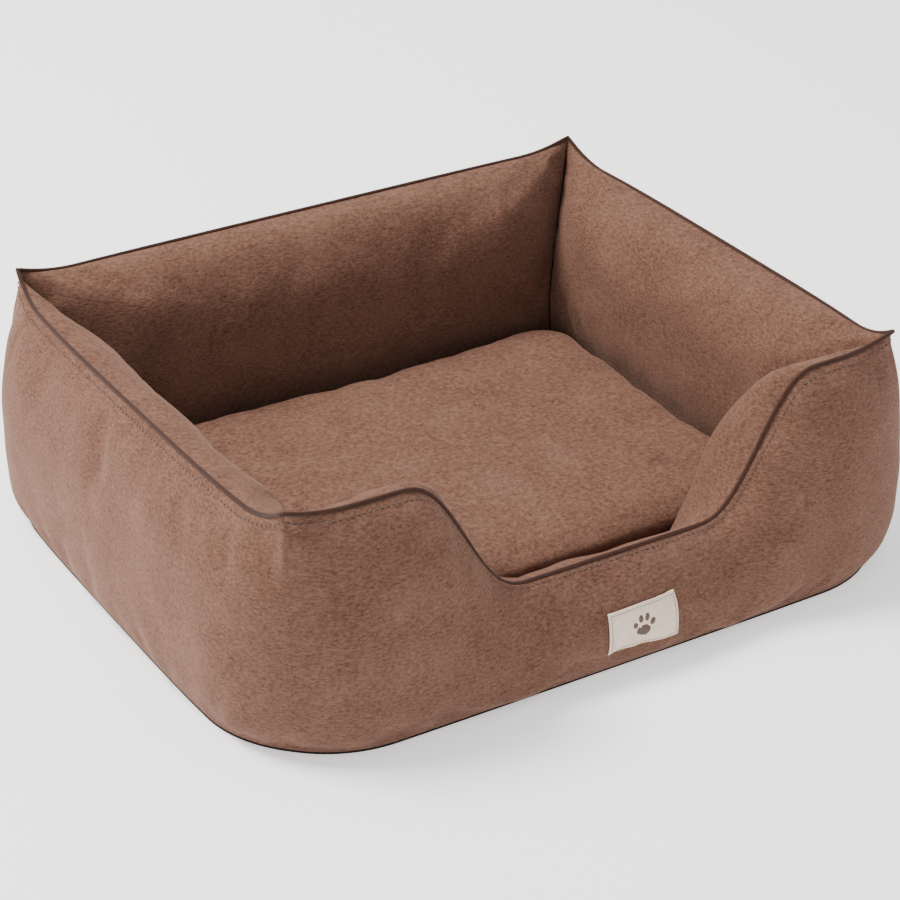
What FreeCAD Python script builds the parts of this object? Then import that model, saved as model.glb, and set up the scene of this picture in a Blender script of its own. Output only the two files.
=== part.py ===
"""A pet cushion bed: four stuffed walls round a well, the front one scooped low for stepping in,
and a loose seat cushion with a zipped cover. Millimetres, +Z up, +X to the right of someone who
faces the scoop, and the origin on the ground at the middle of the bed."""
import FreeCAD
import Part
import math
import os
from collections import namedtuple

# Ears, the pinched upper corners of the walls
ear_length = 566.0          # between the left and right ears
ear_width = 476.0           # between the front and back ears
ear_height = 214.0
ear_rise = 55.0             # how far from an ear its climb begins

# Walls: the ridge is the seam along the top of a wall
back_height = 204.0
side_height = 196.0
front_height = 205.0        # beside the scoop
side_bow = 9.0              # how far a side wall's ridge bows out between its ears
end_bow = 3.0               # the same for the front and back walls
bulge = 38.0                # how far the cover swells outside the ridge
inner_depth = 60.0          # ridge to inner face, front and back walls
side_inner_depth = 56.0     # ridge to inner face, side walls
corner_swell = 9.0          # the cover outside the ears, at a corner
corner_depth = 52.0         # ear to inner corner seam, at the seat
corner_radius = 105.0       # rounding of the cover's corners near the ground
scoop_centre = 9.0
scoop_height = 90.0
scoop_flat = 162.0          # level length of the scoop's edge
scoop_length = 394.0        # between the shoulders beside the scoop
wall_step = 50.0            # spacing of a wall's sections
scoop_step = 13.0           # spacing in the front wall, whose ridge dips
ear_steps = [0, 5, 12, 22, 34, 48, 62]      # closer sections, by their distance from an ear

# Cloths and trims
cover_cloth = 1.0
base_cloth = 1.5            # with its rubbery grip dots
base_wadding = 3.5
floor_lining = 1.0
piping_radius = 2.0
piping_sides = 12
label_length = 66.0
label_height = 37.0
label_cloth = 0.8
label_x = 13.0
label_z = 42.0
label_steps = 4             # points up its height

# Seat cushion
seat_height = 62.0
cushion_corner = 30.0
cushion_lower_inset = 4.0   # lower half of the cushion's side, inside its upper half

# Zip in the back of the cushion
zip_length = 360.0
zip_slot = 10.0             # opening in the cover
tape_width = 8.0
tape_end = 10.0             # tape past each end of the zip
pocket_end = 5.0            # room past each end of the tape
tape_cloth = 0.8
coil_radius = 1.1
coil_spacing = 0.8          # chain centre to the near side of a coil
stop_length = 3.0
slider_length = 11.0
slider_width = 8.4
slider_plate = 1.2
slider_flange = 0.9
slider_bridge = 0.8         # between the coils
bridge_length = 1.6
crown_length = 5.6
crown_width = 1.8
crown_rod = 0.8
pin_radius = 0.5
pull_reach = 11.0           # hinge to tip
pull_width = 6.0
pull_eye = 5.5              # length of the pull's open end
pull_arm = 1.2

# Clearances
gap = 0.4                   # between layers of the same body
cushion_gap = 1.5           # cushion to walls
slide_gap = 0.3             # slider to zip
coil_gap = 0.1              # coil to tape
hinge_gap = 0.5             # pull's pin to the slider's face
crown_gap = 0.4             # pull's pin to the slider's crown
stop_gap = 1.0              # slider to the end stop
panel_stop = piping_radius + 1.0            # a panel's edge short of the ridge line
fill_drop = 1.5 * piping_radius + gap       # the stuffing's ridge below the piping's middle
panel_lengths = 4           # edges in each long line of a panel's section
tip_drop = 3.0              # how much more an inset ridge is lowered in the tip of an ear
label_gap = 0.9             # label to cover

# Section of a wall, up the outside and down the inside: (share of the depth, share of the height)
OUTER = [(0.74, 0.0), (0.97, 0.12), (1.0, 0.30), (0.95, 0.52), (0.80, 0.73), (0.52, 0.89),
         (0.20, 0.975), (0.0, 1.0)]
OUTER_CORNER = [(-0.3, 0.0), (0.7, 0.12), (1.0, 0.30), (0.9, 0.52), (0.65, 0.73), (0.35, 0.87),
                (0.1, 0.955), (0.0, 1.0)]
INNER = [(0.0, 1.0), (0.2, 1.012), (0.5, 0.985), (0.77, 0.90), (0.95, 0.76), (1.0, 0.56),
         (0.97, 0.35), (0.80, 0.17), (0.66, 0.0)]
FRONT_INNER = [(0.0, 1.0), (0.15, 0.997), (0.35, 0.96), (0.6, 0.87), (0.85, 0.73), (1.0, 0.53),
               (0.97, 0.35), (0.80, 0.17), (0.66, 0.0)]
INNER_CORNER = [(0.0, 1.0), (0.03, 0.965), (0.10, 0.90), (0.25, 0.80), (0.50, 0.67), (0.80, 0.50),
                (0.98, 0.33), (0.88, 0.16), (0.76, 0.0)]
# Side of the cushion, from the bottom: (share of the thickness, share of the side's rounding)
CUSHION_SIDE = [(0.0, 0.8), (0.06, 0.4), (0.13, 0.12), (0.21, 0.0), (0.66, 0.0), (0.73, -0.12),
                (0.80, -0.2), (0.88, -0.05), (0.95, 0.25), (1.0, 0.75)]
cushion_rounding = 20.0

# Levels
floor_bottom = base_cloth + gap
lining_bottom = floor_bottom + base_wadding + gap
chamber_bottom = lining_bottom + floor_lining + gap
cushion_bottom = chamber_bottom + gap

Wall = namedtuple("Wall", "name angle half_length half_span height bow depth step")
WALLS = {
    wall.name: wall
    for wall in (
        Wall("left", 180, ear_width / 2, ear_length / 2, side_height, side_bow,
             side_inner_depth, wall_step),
        Wall("front", 270, ear_length / 2, ear_width / 2, front_height, end_bow,
             inner_depth, scoop_step),
        Wall("right", 0, ear_width / 2, ear_length / 2, side_height, side_bow,
             side_inner_depth, wall_step),
        Wall("back", 90, ear_length / 2, ear_width / 2, back_height, end_bow,
             inner_depth, wall_step),
    )
}


def vec(x, y, z):
    return FreeCAD.Vector(x, y, z)


def block(x, y, z):
    """A box from three (low, high) pairs."""
    return Part.makeBox(x[1] - x[0], y[1] - y[0], z[1] - z[0], vec(x[0], y[0], z[0]))


def about(middle, width):
    return (middle - width / 2, middle + width / 2)


def smooth_step(u):
    u = min(max(u, 0.0), 1.0)
    return u * u * u * (u * (6 * u - 15) + 10)


def pinch(wall, along):
    """1 at an ear, falling to 0 where the corner's rounding meets the straight of the wall."""
    reach = corner_radius * math.sqrt(0.5)
    u = min((wall.half_length - abs(along)) / reach, 1.0)
    side = (1 - u) * math.sqrt(0.5)
    return (1 - math.sqrt(1 - side * side)) / (1 - math.sqrt(0.5))


def ridge_height(wall, along):
    height = wall.height
    climb = max(0.0, 1 - (wall.half_length - abs(along)) / ear_rise)
    height += (ear_height - height) * climb ** 2
    if wall.name == "front":
        off = abs(along - scoop_centre)
        rise = smooth_step((off - scoop_flat / 2) / ((scoop_length - scoop_flat) / 2))
        height = scoop_height + (height - scoop_height) * rise
    return height


def slant(wall, along):
    """How much longer than its level run the ridge is here: 1 where it is level."""
    reach = 1.0
    climb = ridge_height(wall, along + reach) - ridge_height(wall, along - reach)
    return math.hypot(1.0, climb / (2 * reach))


def place(wall, share, out, end_out, z, shift=0.0):
    """A point of a wall: share runs from -1 at one ear to 1 at the next, out is outside the ears,
    and end_out is how far past the ears the wall is taken to reach."""
    angle = math.radians(wall.angle)
    along = share * (wall.half_length + end_out) - shift
    away = wall.half_span + out
    return vec(away * math.cos(angle) - along * math.sin(angle),
               away * math.sin(angle) + along * math.cos(angle), z)


def side_path(wall, share, inset, inside, bottom, shift=0.0, ridge_drop=None):
    """Points of one side of a wall's section: up the outside, or down the inside. The ridge of
    an inset section is lower by ridge_drop, and by more in the narrow tip of an ear."""
    along = share * wall.half_length
    near_ear = pinch(wall, along)
    height = ridge_height(wall, along)
    drop = (inset if ridge_drop is None else ridge_drop) * (1 + tip_drop * near_ear)
    drop *= slant(wall, along * (1 - near_ear))
    bow = wall.bow * (1 - share ** 4)
    middle, corner = (OUTER, OUTER_CORNER)
    if inside:
        middle, corner = (FRONT_INNER if wall.name == "front" else INNER, INNER_CORNER)
    # where the ridge dips, the top of the inside stays as round as it is elsewhere
    dip = max(1.0, (wall.height - bottom) / (height - bottom)) if inside else 1.0
    depth, corner_reach = (-wall.depth, -corner_depth) if inside else (bulge, corner_swell)
    inward = inset if inside else -inset
    points = []
    for index, ((m_out, m_up), (c_out, c_up)) in enumerate(zip(middle, corner)):
        to_ridge = index / (len(middle) - 1)
        to_ridge = 1 - to_ridge if inside else to_ridge
        step_in = inward * (1 - to_ridge ** 4)
        corner_out = c_out * corner_reach + step_in
        middle_out = m_out * depth + step_in
        out = middle_out + (corner_out - middle_out) * near_ear + bow
        end_out = out - bow if inside else corner_out
        up = (m_up + (c_up - m_up) * near_ear) ** dip
        lowered = drop * to_ridge ** 2
        z = bottom + (height - bottom) * up - lowered
        points.append(place(wall, share, out, end_out, z, shift))
    return points


def short_of_ridge(points, ridge_last):
    """The same path, its ridge end stopped a little short."""
    ridge, beside = (points[-1], points[-2]) if ridge_last else (points[0], points[1])
    away = beside.sub(ridge)
    end = ridge.add(away.multiply(panel_stop / away.Length))
    return points[:-1] + [end] if ridge_last else [end] + points[1:]


def curve(points, lengths=1):
    """A smooth line through the points, as one edge or as several that meet smoothly."""
    spline = Part.BSplineCurve()
    spline.interpolate(Points=points)
    run = (spline.LastParameter - spline.FirstParameter) / lengths
    starts = [spline.FirstParameter + run * i for i in range(lengths)]
    return [spline.toShape(start, start + run) for start in starts]


def line(a, b):
    return Part.LineSegment(a, b).toShape()


def stations(wall):
    """Shares along a wall, close together at the ears, where its shape changes fastest."""
    near = ear_steps + [corner_radius * math.sqrt(0.5)]
    half = wall.half_length
    middle = half - near[-1]
    count = max(2, math.ceil(2 * middle / wall.step))
    places = [-half + d for d in near]
    places += [-middle + 2 * middle * i / count for i in range(1, count)]
    places += [half - d for d in reversed(near)]
    return [p / half for p in places]


def loft(wires):
    """A closed solid through the wires, straight from each to the next."""
    return Part.makeLoft(wires, True, True)


def panel_section(wall, share, inside, bottom, shift=0.0):
    """A closed wire round the thickness of a panel. Its long lines are in several edges, because
    one long face on so thin a solid can hide the other when the solid is tested."""
    face = side_path(wall, share, 0.0, inside, bottom, shift)
    back = side_path(wall, share, cover_cloth, inside, bottom, shift)
    face, back = short_of_ridge(face, not inside), short_of_ridge(back, not inside)
    return ring(face, back, panel_lengths)


def ring(face, back, lengths=1):
    """A closed wire up one line, across and back down the other."""
    return Part.Wire(curve(face, lengths) + [line(face[-1], back[-1])]
                     + curve(list(reversed(back)), lengths) + [line(back[0], face[0])])


def fill_section(wall, share, shift):
    """A closed wire round the stuffing of a wall, inside its panels."""
    inset = cover_cloth + gap
    outer = side_path(wall, share, inset, False, floor_bottom, shift, fill_drop)
    rise = outer[1].sub(outer[0])
    outer[0] = outer[0].add(rise.multiply((chamber_bottom - outer[0].z) / rise.z))
    inner = side_path(wall, share, inset, True, chamber_bottom, shift, fill_drop)
    return Part.Wire(curve(outer) + curve(inner) + [line(inner[-1], outer[0])])


def wall_loft(wall, section):
    """Sections along one wall, its ends a little short of the mitre planes at the ears."""
    shares = stations(wall)
    ends = {shares[0]: -gap / 2, shares[-1]: gap / 2}
    return loft([section(share, ends.get(share, 0.0)) for share in shares])


def make_outer_cover():
    """One strip round all four walls; its ends meet in the closing seam at the back left."""
    wires = []
    for wall in WALLS.values():
        for share in stations(wall)[1 if wires else 0:]:
            first = not wires
            last = wall.name == "back" and share == 1.0
            shift = -gap / 2 if first else gap / 2 if last else 0.0
            wires.append(panel_section(wall, share, False, floor_bottom, shift))
    return loft(wires)


def make_inner_panel(wall):
    return wall_loft(wall, lambda share, shift: panel_section(wall, share, True, chamber_bottom, shift))


def make_wall_fill(wall):
    return wall_loft(wall, lambda share, shift: fill_section(wall, share, shift))


def moved_level(point, target, distance):
    """The point, moved level towards another one."""
    step = target.sub(point)
    step.z = 0.0
    return point.add(step.multiply(distance / step.Length))


def piping_ring(centre, across, normal):
    """A many-sided wire round the cord."""
    points = []
    for i in range(piping_sides):
        turn = 2 * math.pi * i / piping_sides
        side = across * (piping_radius * math.cos(turn))
        lift = normal * (piping_radius * math.sin(turn))
        points.append(centre.add(side).add(lift))
    return Part.makePolygon(points + points[:1])


def make_ridge_piping():
    """A cord along the ridge of all four walls, mitred at each ear. Its two ends stand a little
    apart at the back left."""
    wires = []
    for wall in WALLS.values():
        shares = stations(wall)
        ridge = [side_path(wall, share, 0.0, False, floor_bottom)[-1] for share in shares]
        if not wires:
            ridge[0] = moved_level(ridge[0], ridge[1], gap)
        if wall.name == "back":
            ridge[-1] = moved_level(ridge[-1], ridge[-2], gap)
        last = len(shares) - 1
        for index in range(1 if wires else 0, last + 1):
            at_ear = index in (0, last)
            outside = place(wall, shares[index], 1.0, 1.0 if at_ear else 0.0, 0.0)
            across = outside.sub(place(wall, shares[index], 0.0, 0.0, 0.0))
            normal = vec(0, 0, 1)
            if not at_ear:
                normal = across.cross(ridge[index + 1].sub(ridge[index - 1]))
                normal.normalize()
                normal = normal if normal.z > 0 else normal.negative()
            wires.append(piping_ring(ridge[index], across, normal))
    return loft(wires)


def footprint(inset, bottom, thickness):
    """A level layer with the outline of the walls' foot."""
    points = []
    for wall in WALLS.values():
        for share in stations(wall)[1:]:
            foot = side_path(wall, share, inset, False, floor_bottom)[0]
            points.append(vec(foot.x, foot.y, bottom))
    outline = Part.makePolygon(points + points[:1])
    return Part.Face(outline).extrude(vec(0, 0, thickness))


def make_label():
    """A woven patch that follows the front of the cover."""
    wall = WALLS["front"]
    share = label_x / wall.half_length
    face = side_path(wall, share, 0.0, False, floor_bottom)

    def sheet(x, lift):
        points = []
        for step in range(label_steps + 1):
            z = label_z + label_height * (step / label_steps - 0.5)
            for low, high in zip(face, face[1:]):
                if low.z <= z <= high.z:
                    y = low.y + (high.y - low.y) * (z - low.z) / (high.z - low.z)
            points.append(vec(x, y - lift, z))
        return points

    ends = about(label_x, label_length)
    return loft([ring(sheet(x, label_gap), sheet(x, label_gap + label_cloth)) for x in ends])


# Cushion outline: inside the walls all the way up
cushion_half_x = ear_length / 2 - corner_depth - cushion_gap
cushion_half_y = ear_width / 2 - inner_depth - cushion_gap
upper_edge = -cushion_rounding * min(share for up, share in CUSHION_SIDE)
zip_face = cushion_half_y - upper_edge - cushion_lower_inset
cushion_thickness = seat_height - cushion_bottom
zip_z = cushion_bottom + cushion_thickness * (CUSHION_SIDE[3][0] + CUSHION_SIDE[4][0]) / 2


def rounded_outline(half_x, half_y, radius, z):
    """A rectangle with round corners, as one wire."""
    edges = []
    corners = [(1, 1), (-1, 1), (-1, -1), (1, -1)]
    for index, (side_x, side_y) in enumerate(corners):
        centre = vec(side_x * (half_x - radius), side_y * (half_y - radius), z)
        start = math.pi / 2 * index
        arc = Part.Circle(centre, vec(0, 0, 1), radius)
        edges.append(Part.Arc(arc, start, start + math.pi / 2).toShape())
    joined = []
    for arc, following in zip(edges, edges[1:] + edges[:1]):
        joined += [arc, line(arc.Vertexes[-1].Point, following.Vertexes[0].Point)]
    return Part.Wire(joined)


def cushion_body(inset):
    """The cushion's form, or the same form a little smaller all round."""
    wires = []
    for up, rounding in CUSHION_SIDE:
        side = inset + cushion_rounding * rounding + upper_edge
        side += cushion_lower_inset if up <= CUSHION_SIDE[4][0] else 0.0
        z = cushion_bottom + inset + (cushion_thickness - 2 * inset) * up
        wires.append(rounded_outline(cushion_half_x - side, cushion_half_y - side,
                                     cushion_corner - inset, z))
    return loft(wires)


# Zip layers, from the fill outwards along +Y
tape_outer = zip_face - cover_cloth - gap
tape_inner = tape_outer - tape_cloth
coil_y = tape_outer + coil_gap + coil_radius
slider_back = tape_inner - slide_gap - slider_plate
slider_face = coil_y + coil_radius + slide_gap
hinge_y = slider_face + slider_plate + pin_radius + hinge_gap
slider_x = zip_length / 2 - stop_length - slider_length / 2 - stop_gap
tape_run = zip_length + 2 * tape_end


def make_cushion_cover(top):
    """Half of the cushion's cover, on one side of the seam that holds the zip."""
    shell = cushion_body(0.0).cut(cushion_body(cover_cloth))
    reach = 2 * ear_length
    low, high = (zip_z + gap / 2, reach) if top else (-reach, zip_z - gap / 2)
    half = shell.common(block((-reach, reach), (-reach, reach), (low, high)))
    return half.cut(block(about(0, zip_length), (zip_face - cushion_corner, reach),
                          about(zip_z, zip_slot)))


def make_cushion_fill():
    body = cushion_body(cover_cloth + gap)
    pocket = block(about(0, tape_run + 2 * pocket_end),
                   (slider_back - slide_gap, zip_face + cushion_rounding),
                   about(zip_z, 2 * (coil_spacing + tape_width + gap)))
    return body.cut(pocket)


def make_zip_tape(side):
    near, far = sorted((zip_z + side * coil_spacing, zip_z + side * (coil_spacing + tape_width)))
    return block(about(0, tape_run), (tape_inner, tape_outer), (near, far))


def make_zip_coil(side):
    run = zip_length - 2 * (stop_length + gap)
    start = vec(-run / 2, coil_y, zip_z + side * (coil_spacing + coil_radius))
    return Part.makeCylinder(coil_radius, run, start, vec(1, 0, 0))


def make_zip_stop(side):
    middle = side * (zip_length - stop_length) / 2
    return block(about(middle, stop_length - gap), (tape_outer + coil_gap, coil_y + coil_radius),
                 about(zip_z, 2 * (coil_spacing + 2 * coil_radius)))


def make_zip_slider():
    """Front and back plates, flanges over the coils, the bridge between them and the crown."""
    x = about(slider_x, slider_length)
    half = slider_width / 2
    body = block(x, (slider_face, slider_face + slider_plate), about(zip_z, slider_width))
    body = body.fuse(block(x, (slider_back, slider_back + slider_plate), about(zip_z, slider_width)))
    for low in (zip_z - half, zip_z + half - slider_flange):
        flange_y = (tape_outer + slide_gap, slider_face)
        body = body.fuse(block(x, flange_y, (low, low + slider_flange)))
    bridge_x = (x[1] - bridge_length, x[1])
    bridge_z = about(zip_z, slider_bridge)
    body = body.fuse(block(bridge_x, (slider_back, slider_face), bridge_z))
    crown_top = hinge_y + pin_radius + crown_gap
    crown_z = about(zip_z, crown_width)
    for side in (-1, 1):
        post = about(slider_x + side * (crown_length - crown_rod) / 2, crown_rod)
        body = body.fuse(block(post, (slider_face, crown_top), crown_z))
    body = body.fuse(block(about(slider_x, crown_length), (crown_top, crown_top + crown_rod), crown_z))
    return body.removeSplitter()


def make_zip_pull():
    """A tab with an open end, whose pin turns under the slider's crown."""
    y = (hinge_y - pin_radius, hinge_y + pin_radius)
    tab = block((slider_x - pull_reach, slider_x - pull_eye), y, about(zip_z, pull_width))
    for side in (-1, 1):
        edge = zip_z + side * (pull_width - pull_arm) / 2
        tab = tab.fuse(block((slider_x - pull_eye, slider_x), y, about(edge, pull_arm)))
        knuckle = vec(slider_x, hinge_y, edge - pull_arm / 2)
        tab = tab.fuse(Part.makeCylinder(pin_radius, pull_arm, knuckle, vec(0, 0, 1)))
    pin = Part.makeCylinder(pin_radius, pull_width - pull_arm,
                            vec(slider_x, hinge_y, zip_z - (pull_width - pull_arm) / 2), vec(0, 0, 1))
    return tab.fuse(pin).removeSplitter()


def build():
    parts = {
        "base_cloth": footprint(0.0, 0.0, base_cloth),
        "base_wadding": footprint(cover_cloth + gap, floor_bottom, base_wadding),
        "floor_lining": footprint(cover_cloth + gap, lining_bottom, floor_lining),
        "outer_cover": make_outer_cover(),
        "ridge_piping": make_ridge_piping(),
        "label_patch": make_label(),
    }
    for wall in WALLS.values():
        parts[f"inner_panel_{wall.name}"] = make_inner_panel(wall)
        parts[f"wall_fill_{wall.name}"] = make_wall_fill(wall)
    parts["cushion_top_cover"] = make_cushion_cover(True)
    parts["cushion_bottom_cover"] = make_cushion_cover(False)
    parts["cushion_fill"] = make_cushion_fill()
    for side, name in ((1, "upper"), (-1, "lower")):
        parts[f"zip_tape_{name}"] = make_zip_tape(side)
        parts[f"zip_coil_{name}"] = make_zip_coil(side)
    parts["zip_stop_right"] = make_zip_stop(1)
    parts["zip_stop_left"] = make_zip_stop(-1)
    parts["zip_slider"] = make_zip_slider()
    parts["zip_pull"] = make_zip_pull()
    return parts


os.makedirs("parts", exist_ok=True)
for name, shape in build().items():
    box = shape.BoundBox
    print(f"{name}: {len(shape.Solids)} solid, valid {shape.isValid()}, {shape.Volume / 1000:.1f} cm3, "
          f"x {box.XMin:.1f}..{box.XMax:.1f}, y {box.YMin:.1f}..{box.YMax:.1f}, "
          f"z {box.ZMin:.1f}..{box.ZMax:.1f}")
    shape.exportStep(f"parts/{name}.step")
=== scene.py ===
# %% [markdown]
# # A pet cushion bed
# Four stuffed walls stand round a well, and a loose cushion lies in it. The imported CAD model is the
# fixed frame: it says where each piece goes, and the cells below give each piece its cloth. All
# lengths are in metres, +X is to the right of someone who faces the scooped front, and +Z is up.

# %% Load the frame
import math

import bpy
import numpy as np
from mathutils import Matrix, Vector, noise
from mathutils.bvhtree import BVHTree


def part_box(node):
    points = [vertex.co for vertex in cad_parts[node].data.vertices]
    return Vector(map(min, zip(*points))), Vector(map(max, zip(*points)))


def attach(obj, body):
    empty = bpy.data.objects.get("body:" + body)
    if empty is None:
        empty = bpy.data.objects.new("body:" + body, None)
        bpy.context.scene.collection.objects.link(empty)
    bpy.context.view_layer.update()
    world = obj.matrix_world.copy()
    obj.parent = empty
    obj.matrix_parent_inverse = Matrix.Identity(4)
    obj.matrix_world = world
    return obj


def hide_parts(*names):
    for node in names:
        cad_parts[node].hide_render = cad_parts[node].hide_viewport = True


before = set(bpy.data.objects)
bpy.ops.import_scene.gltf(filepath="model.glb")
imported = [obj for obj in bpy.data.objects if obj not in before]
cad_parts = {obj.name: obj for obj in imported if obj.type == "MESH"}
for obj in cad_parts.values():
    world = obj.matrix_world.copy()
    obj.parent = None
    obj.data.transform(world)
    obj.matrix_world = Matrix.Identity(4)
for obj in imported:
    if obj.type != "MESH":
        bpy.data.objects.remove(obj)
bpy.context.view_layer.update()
MM = 0.001

# %% [markdown]
# ## Camera, floor and light
# The bed is seen from the front left and from well above, with a long lens that keeps its far walls
# nearly as wide as its near ones. The light is a studio's: one big soft source up to the left, a
# weaker one opposite, and a pale room that fills the shadows.

# %% Camera
CAMERA_PLACE = Vector((-1.046, -1.727, 1.200))
CAMERA_TARGET = Vector((-0.0164, -0.0349, 0.0911))
CAMERA_LENS = 107.0

camera_data = bpy.data.cameras.new("camera")
camera_data.lens = CAMERA_LENS
camera = bpy.data.objects.new("camera", camera_data)
camera.location = CAMERA_PLACE
camera.rotation_euler = (CAMERA_TARGET - CAMERA_PLACE).to_track_quat("-Z", "Y").to_euler()
bpy.context.collection.objects.link(camera)
bpy.context.scene.camera = camera


# %% Colour and node helpers
def colour(hexadecimal, alpha=1.0):
    """An sRGB hex value as linear red, green, blue and alpha."""
    channels = [int(hexadecimal[i:i + 2], 16) / 255 for i in (0, 2, 4)]
    linear = [c / 12.92 if c <= 0.04045 else ((c + 0.055) / 1.055) ** 2.4 for c in channels]
    return (*linear, alpha)


def add(tree, kind, settings=None, inputs=None, links=None):
    """A node with its settings, its input values and its links (input: (node, output))."""
    node = tree.nodes.new(kind)
    for name, value in (settings or {}).items():
        setattr(node, name, value)
    for name, value in (inputs or {}).items():
        node.inputs[name].default_value = value
    for name, (source, output) in (links or {}).items():
        tree.links.new(source.outputs[output], node.inputs[name])
    return node


def new_material(name):
    """A new material and its empty node tree."""
    material = bpy.data.materials.new(name)
    material.use_nodes = True
    material.node_tree.nodes.clear()
    return material, material.node_tree


def finish_material(tree, shader):
    """The output node, fed by the shader."""
    add(tree, "ShaderNodeOutputMaterial", links={"Surface": (shader, "BSDF")})


# %% Floor and lights
def area_light(name, place, size, power, tint):
    """A square soft light that faces the middle of the bed."""
    data = bpy.data.lights.new(name, "AREA")
    data.shape = "SQUARE"
    data.size = size
    data.energy = power
    data.color = colour(tint)[:3]
    lamp = bpy.data.objects.new(name, data)
    lamp.location = place
    lamp.rotation_euler = (-Vector(place)).to_track_quat("-Z", "Y").to_euler()
    bpy.context.collection.objects.link(lamp)


FLOOR_HALF = 6.0
floor_mesh = bpy.data.meshes.new("studio_floor")
floor_mesh.from_pydata([(x, y, 0) for x, y in ((-FLOOR_HALF, -FLOOR_HALF), (FLOOR_HALF, -FLOOR_HALF),
                                               (FLOOR_HALF, FLOOR_HALF), (-FLOOR_HALF, FLOOR_HALF))],
                       [], [(0, 1, 2, 3)])
floor = bpy.data.objects.new("studio_floor", floor_mesh)
bpy.context.collection.objects.link(floor)
material, tree = new_material("studio_paper")
finish_material(tree, add(tree, "ShaderNodeBsdfPrincipled", inputs={
    "Base Color": colour("fbfbfb"), "Roughness": 0.9, "Emission Color": colour("ffffff"),
    "Emission Strength": 0.6}))
floor_mesh.materials.append(material)

area_light("key_light", (-1.7, 1.2, 3.2), 1.4, 250.0, "fffcf9")
area_light("fill_light", (2.2, -2.2, 1.8), 2.2, 2.0, "f6f8ff")
world = bpy.data.worlds.new("studio_room")
world.use_nodes = True
world.node_tree.nodes["Background"].inputs["Color"].default_value = colour("ffffff")
world.node_tree.nodes["Background"].inputs["Strength"].default_value = 1.0
bpy.context.scene.world = world

# %% [markdown]
# ## Suede
# The cover is a brushed polyester suede. Its yarns are dyed in slightly different browns, so it looks
# mottled from close by, and its short nap lies one way or the other in soft patches. A noise of about
# two millimetres stands for the mottled yarns, a stretched one of four for the direction of the nap,
# and a broad one for its patches. Real fibres are far thinner than a tenth of a millimetre, so the
# mottle is drawn coarser than it is, to show at all. A sheen stands for the fibre ends that catch
# light at the edge of a fold. A picture of cloth could do this too, but noise needs no seams.


# %% Suede
def suede(name, dark, light, mottle_mm=2.2, nap_mm=45.0):
    """Brushed polyester suede between two browns."""
    material, tree = new_material(name)
    place = add(tree, "ShaderNodeTexCoord")
    mottle = add(tree, "ShaderNodeTexNoise", inputs={"Scale": 1 / (mottle_mm * MM), "Detail": 3.0,
                                                     "Roughness": 0.65},
                 links={"Vector": (place, "Object")})
    streak_place = add(tree, "ShaderNodeMapping", inputs={"Scale": (1.0, 1.0, 2.6)},
                       links={"Vector": (place, "Object")})
    streak = add(tree, "ShaderNodeTexNoise", inputs={"Scale": 1 / (4.2 * MM), "Detail": 4.0,
                                                     "Roughness": 0.7},
                 links={"Vector": (streak_place, "Vector")})
    nap = add(tree, "ShaderNodeTexNoise", inputs={"Scale": 1 / (nap_mm * MM), "Detail": 3.0,
                                                  "Roughness": 0.55, "Distortion": 0.4},
              links={"Vector": (place, "Object")})
    fine = add(tree, "ShaderNodeMapRange", inputs={"From Min": 0.3, "From Max": 0.7},
               links={"Value": (mottle, "Fac")})
    middle = add(tree, "ShaderNodeMapRange", inputs={"From Min": 0.32, "From Max": 0.68},
                 links={"Value": (streak, "Fac")})
    broad = add(tree, "ShaderNodeMapRange", inputs={"From Min": 0.3, "From Max": 0.7},
                links={"Value": (nap, "Fac")})
    weave = add(tree, "ShaderNodeMath", {"operation": "MULTIPLY_ADD"}, {1: 0.45},
                {0: (fine, "Result"), 2: (middle, "Result")})
    total = add(tree, "ShaderNodeMath", {"operation": "MULTIPLY_ADD"}, {1: 0.28},
                {0: (broad, "Result"), 2: (weave, "Value")})
    share = add(tree, "ShaderNodeMapRange", inputs={"From Min": 0.1, "From Max": 1.6},
                links={"Value": (total, "Value")})
    yarn = add(tree, "ShaderNodeMix", {"data_type": "RGBA"},
               {"A": colour(dark), "B": colour(light)}, {"Factor": (share, "Result")})
    rough = add(tree, "ShaderNodeMapRange", inputs={"To Min": 0.95, "To Max": 0.82},
                links={"Value": (broad, "Result")})
    bump = add(tree, "ShaderNodeBump", inputs={"Strength": 0.55, "Distance": 0.4 * MM},
               links={"Height": (weave, "Value")})
    shader = add(tree, "ShaderNodeBsdfPrincipled",
                 inputs={"IOR": 1.45, "Specular IOR Level": 0.2, "Sheen Weight": 0.22,
                         "Sheen Roughness": 0.45, "Sheen Tint": colour("e3b9a4")},
                 links={"Base Color": (yarn, "Result"), "Roughness": (rough, "Result"),
                        "Normal": (bump, "Normal")})
    finish_material(tree, shader)
    return material


SUEDE = suede("brushed_suede", "41271c", "7c5a4b")


# %% [markdown]
# ## Woven cloths
# Five finishes are woven: the piping's strip, the base, the lining, the label and the zip's tapes. A
# weave is two sets of threads that pass over and under each other. Two wave patterns at right angles
# draw them, which is lighter than modelling each thread. Real threads are a few tenths of a
# millimetre wide, and most are drawn coarser here so that they show.


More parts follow.
